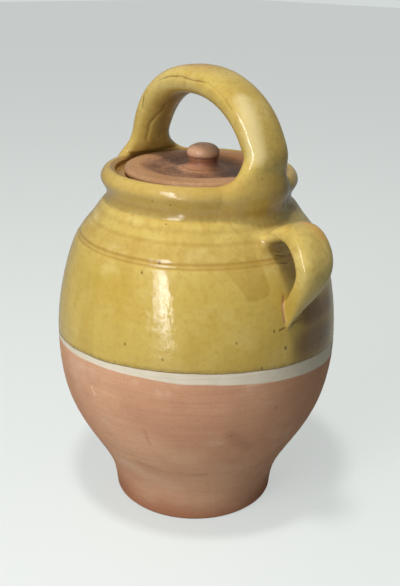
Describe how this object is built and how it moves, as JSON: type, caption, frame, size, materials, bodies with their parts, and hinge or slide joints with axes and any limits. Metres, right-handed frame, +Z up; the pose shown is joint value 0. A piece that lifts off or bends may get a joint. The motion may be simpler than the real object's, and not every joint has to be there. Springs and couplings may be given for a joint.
{
  "type": "lidded earthenware pitcher",
  "caption": "Round-bellied clay pot, glazed on its upper half, with an overhead bail handle, a small side handle and a loose dished lid with a knob.",
  "frame": {"origin": "centre of the flat base, on the pot's axis", "axes": "+Z up the pot's axis, +X towards the small side handle; the overhead bail lies in the XZ plane"},
  "size_m": [0.1791, 0.164, 0.2586],
  "materials": {
    "glazed_clay": "glossy",
    "lid_clay": "matte"
  },
  "bodies": {
    "root": {"pitcher": "glazed_clay", "lid": "lid_clay"}
  },
  "joints": []
}
